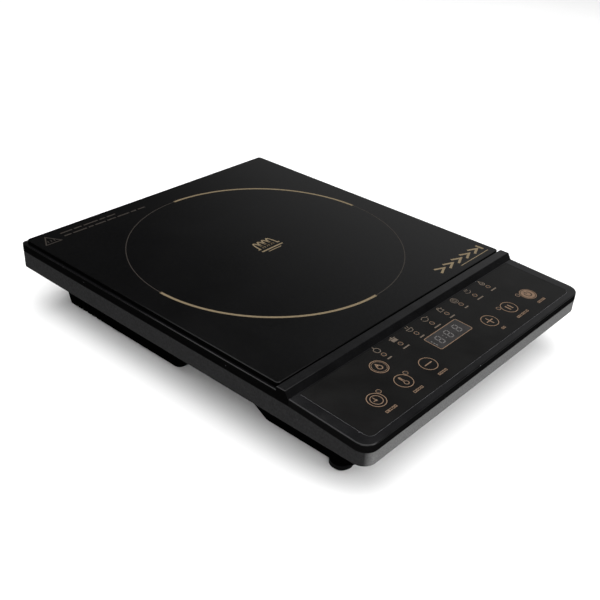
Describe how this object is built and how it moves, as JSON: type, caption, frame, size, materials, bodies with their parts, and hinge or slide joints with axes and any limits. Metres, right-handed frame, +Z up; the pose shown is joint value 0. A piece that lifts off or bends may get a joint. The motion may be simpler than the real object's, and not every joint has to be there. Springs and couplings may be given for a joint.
{
  "type": "portable induction cooktop",
  "caption": "Slim tabletop induction cooktop: black glass plate with a printed pan ring, raised ridge, and a sloped panel of flush keys with a small display.",
  "frame": {"origin": "middle of the footprint, on the surface that the feet stand on", "axes": "+X to the user's right, +Y to the rear edge, -Y to the control panel, +Z up"},
  "size_m": [0.285, 0.369, 0.06],
  "materials": {
    "black_glass": "satin ceramic glass, printed from above",
    "silicone": "matt",
    "case_gloss": "high gloss",
    "panel_gloss": "high gloss",
    "panel_film": "satin printed film",
    "smoked_window": "smoked clear",
    "clear_lens": "clear",
    "case_matte": "fine spark texture",
    "steel": "zinc plated",
    "gland_plastic": "matt",
    "inner_plastic": "matt",
    "label_metal": "satin",
    "mica": "pearly sheet",
    "copper": "enamelled wire",
    "ferrite": "sintered",
    "circuit_board": "solder mask",
    "aluminium": "extruded",
    "capacitor": "moulded",
    "brass": "turned",
    "fan_plastic": "moulded",
    "ribbon": "flat cable",
    "rubber": "matt",
    "key_cap": "satin printed film"
  },
  "bodies": {
    "root": {"glass_plate": "black_glass", "glass_seal": "silicone", "glass_frame": "case_gloss", "divider_bar": "case_gloss", "control_cover": "panel_gloss", "control_film": "panel_film", "display_window": "smoked_window", "led_lenses": "clear_lens", "lower_housing": "case_matte", "case_screws": "steel", "cord_gland": "gland_plastic", "cord_clamp": "inner_plastic", "rating_plate": "label_metal", "insulation_sheet": "mica", "coil_winding": "copper", "coil_former": "inner_plastic", "ferrite_bars": "ferrite", "coil_screws": "steel", "thermistor_holder": "silicone", "thermistor": "steel", "thermal_cutout": "inner_plastic", "main_board": "circuit_board", "board_screws": "steel", "heatsink": "aluminium", "power_transistor": "inner_plastic", "bridge_rectifier": "inner_plastic", "resonant_capacitor": "capacitor", "filter_capacitor": "capacitor", "choke_coil": "copper", "fuse": "clear_lens", "transformer": "ferrite", "terminal_posts": "brass", "fan_frame": "fan_plastic", "fan_bearing": "brass", "fan_stator": "copper", "fan_screws": "steel", "control_board": "circuit_board", "control_screws": "steel", "tact_switches": "inner_plastic", "status_leds": "clear_lens", "display_module": "inner_plastic", "led_shroud": "inner_plastic", "ribbon_cable": "ribbon", "foot_front_left": "rubber", "foot_front_right": "rubber", "foot_rear_left": "rubber", "foot_rear_right": "rubber"},
    "fan_rotor": {"fan_impeller": "fan_plastic", "fan_shaft": "steel"},
    "timer_button": {"key_timer": "key_cap"},
    "warm_button": {"key_warm": "key_cap"},
    "function_button": {"key_function": "key_cap"},
    "down_button": {"key_down": "key_cap"},
    "up_button": {"key_up": "key_cap"},
    "pause_button": {"key_pause": "key_cap"},
    "power_button": {"key_power": "key_cap"}
  },
  "joints": [
    {"name": "fan_spin", "type": "hinge", "parent": "root", "child": "fan_rotor", "pos_m": [0.072, 0.078, 0.0246], "axis": [0, 0, 1], "continuous": true},
    {"name": "timer_press", "type": "slide", "parent": "root", "child": "timer_button", "axis": [0, 0.0499, -0.9988], "range_m": [0, 0.0004], "stiffness_N_per_m": 3000},
    {"name": "warm_press", "type": "slide", "parent": "root", "child": "warm_button", "axis": [0, 0.0499, -0.9988], "range_m": [0, 0.0004], "stiffness_N_per_m": 3000},
    {"name": "function_press", "type": "slide", "parent": "root", "child": "function_button", "axis": [0, 0.0499, -0.9988], "range_m": [0, 0.0004], "stiffness_N_per_m": 3000},
    {"name": "down_press", "type": "slide", "parent": "root", "child": "down_button", "axis": [0, 0.0499, -0.9988], "range_m": [0, 0.0004], "stiffness_N_per_m": 3000},
    {"name": "up_press", "type": "slide", "parent": "root", "child": "up_button", "axis": [0, 0.0499, -0.9988], "range_m": [0, 0.0004], "stiffness_N_per_m": 3000},
    {"name": "pause_press", "type": "slide", "parent": "root", "child": "pause_button", "axis": [0, 0.0499, -0.9988], "range_m": [0, 0.0004], "stiffness_N_per_m": 3000},
    {"name": "power_press", "type": "slide", "parent": "root", "child": "power_button", "axis": [0, 0.0499, -0.9988], "range_m": [0, 0.0004], "stiffness_N_per_m": 3000}
  ]
}
